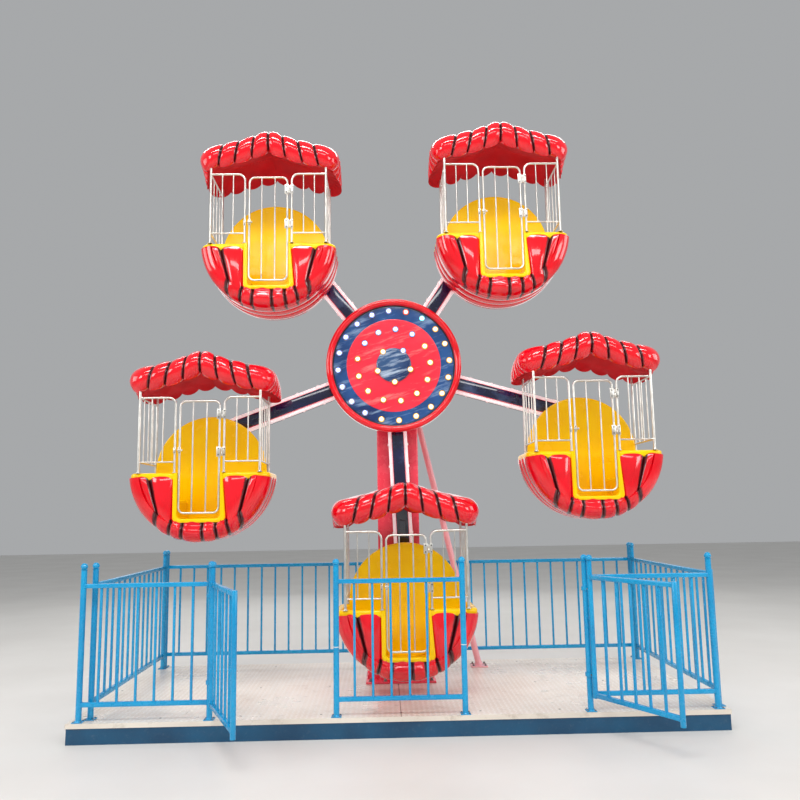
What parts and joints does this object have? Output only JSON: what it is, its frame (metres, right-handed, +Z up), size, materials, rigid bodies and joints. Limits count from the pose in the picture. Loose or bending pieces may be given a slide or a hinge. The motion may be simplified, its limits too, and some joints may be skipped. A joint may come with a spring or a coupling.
{
  "type": "ferris wheel",
  "caption": "Small fairground wheel on a fenced platform: lobed red cabins with steel cages and canopies hang level from radial arms round a lamp disc.",
  "frame": {"origin": "middle of the platform's underside, straight below the wheel's hub", "axes": "+Z up, -Y towards the gates and cabin doors, +X to the right seen from the gates"},
  "size_m": [4.92, 2.9493, 5.0908],
  "materials": {
    "red_shell": "high gloss moulded fibreglass",
    "yellow_shell": "gloss moulded fibreglass",
    "ring_shell": "gloss blue",
    "cage_steel": "polished stainless tube",
    "column_paint": "gloss red paint",
    "arm_paint": "gloss dark blue paint",
    "fence_paint": "gloss sky blue paint",
    "tread_plate": "worn raised tread pattern",
    "base_paint": "satin dark blue paint",
    "bearing_iron": "painted cast iron"
  },
  "bodies": {
    "stand": {"platform_frame": "base_paint", "deck_plate": "tread_plate", "column": "column_paint", "column_foot": "column_paint", "bearing_front": "bearing_iron", "bearing_rear": "bearing_iron", "rear_brace": "column_paint", "fence_front_left": "fence_paint", "fence_front_middle": "fence_paint", "fence_front_right": "fence_paint", "fence_side_left": "fence_paint", "fence_side_right": "fence_paint", "fence_back_left": "fence_paint", "fence_back_right": "fence_paint"},
    "wheel": {"hub_and_axle": "bearing_iron", "lamp_disc": "red_shell", "lamp_ring": "ring_shell", "lamp_disc_cap": "arm_paint", "arm_1": "arm_paint", "arm_2": "arm_paint", "arm_3": "arm_paint", "arm_4": "arm_paint", "arm_5": "arm_paint"},
    "cabin_1": {"cabin_1_bowl": "red_shell", "cabin_1_liner": "yellow_shell", "cabin_1_frame": "cage_steel", "cabin_1_canopy": "red_shell"},
    "door_1": {"cabin_1_door": "cage_steel"},
    "cabin_2": {"cabin_2_bowl": "red_shell", "cabin_2_liner": "yellow_shell", "cabin_2_frame": "cage_steel", "cabin_2_canopy": "red_shell"},
    "door_2": {"cabin_2_door": "cage_steel"},
    "cabin_3": {"cabin_3_bowl": "red_shell", "cabin_3_liner": "yellow_shell", "cabin_3_frame": "cage_steel", "cabin_3_canopy": "red_shell"},
    "door_3": {"cabin_3_door": "cage_steel"},
    "cabin_4": {"cabin_4_bowl": "red_shell", "cabin_4_liner": "yellow_shell", "cabin_4_frame": "cage_steel", "cabin_4_canopy": "red_shell"},
    "door_4": {"cabin_4_door": "cage_steel"},
    "cabin_5": {"cabin_5_bowl": "red_shell", "cabin_5_liner": "yellow_shell", "cabin_5_frame": "cage_steel", "cabin_5_canopy": "red_shell"},
    "door_5": {"cabin_5_door": "cage_steel"},
    "gate_left": {"gate_left": "fence_paint"},
    "gate_right": {"gate_right": "fence_paint"}
  },
  "joints": [
    {"name": "wheel_spin", "type": "hinge", "parent": "stand", "child": "wheel", "pos_m": [0, 0, 2.98], "axis": [0, 1, 0], "continuous": true},
    {"name": "cabin_1_hang", "type": "hinge", "parent": "wheel", "child": "cabin_1", "pos_m": [0.06983, 0, 1.2414], "axis": [0, 1, 0], "continuous": true},
    {"name": "cabin_1_door_hinge", "type": "hinge", "parent": "cabin_1", "child": "door_1", "pos_m": [0.25583, -0.622, 1.0314], "axis": [0, 0, 1], "range_deg": [0, 100]},
    {"name": "cabin_2_hang", "type": "hinge", "parent": "wheel", "child": "cabin_2", "pos_m": [1.67508, 0, 2.50916], "axis": [0, 1, 0], "continuous": true},
    {"name": "cabin_2_door_hinge", "type": "hinge", "parent": "cabin_2", "child": "door_2", "pos_m": [1.86108, -0.622, 2.29916], "axis": [0, 0, 1], "range_deg": [0, 100]},
    {"name": "cabin_3_hang", "type": "hinge", "parent": "wheel", "child": "cabin_3", "pos_m": [0.96543, 0, 4.4276], "axis": [0, 1, 0], "continuous": true},
    {"name": "cabin_3_door_hinge", "type": "hinge", "parent": "cabin_3", "child": "door_3", "pos_m": [1.15143, -0.622, 4.2176], "axis": [0, 0, 1], "range_deg": [0, 100]},
    {"name": "cabin_4_hang", "type": "hinge", "parent": "wheel", "child": "cabin_4", "pos_m": [-1.07842, 0, 4.34551], "axis": [0, 1, 0], "continuous": true},
    {"name": "cabin_4_door_hinge", "type": "hinge", "parent": "cabin_4", "child": "door_4", "pos_m": [-0.89242, -0.622, 4.13551], "axis": [0, 0, 1], "range_deg": [0, 100]},
    {"name": "cabin_5_hang", "type": "hinge", "parent": "wheel", "child": "cabin_5", "pos_m": [-1.63193, 0, 2.37633], "axis": [0, 1, 0], "continuous": true},
    {"name": "cabin_5_door_hinge", "type": "hinge", "parent": "cabin_5", "child": "door_5", "pos_m": [-1.44593, -0.622, 2.16633], "axis": [0, 0, 1], "range_deg": [0, 100]},
    {"name": "gate_left_hinge", "type": "hinge", "parent": "stand", "child": "gate_left", "pos_m": [-1.42, -1.04, 0.15], "axis": [0, 0, 1], "range_deg": [-50, 68]},
    {"name": "gate_right_hinge", "type": "hinge", "parent": "stand", "child": "gate_right", "pos_m": [1.42, -1.04, 0.15], "axis": [0, 0, 1], "range_deg": [-118, 0]}
  ],
  "couplings": [
    {"joint": "cabin_1_hang", "follows": "wheel_spin", "ratio": -1},
    {"joint": "cabin_2_hang", "follows": "wheel_spin", "ratio": -1},
    {"joint": "cabin_3_hang", "follows": "wheel_spin", "ratio": -1},
    {"joint": "cabin_4_hang", "follows": "wheel_spin", "ratio": -1},
    {"joint": "cabin_5_hang", "follows": "wheel_spin", "ratio": -1}
  ]
}
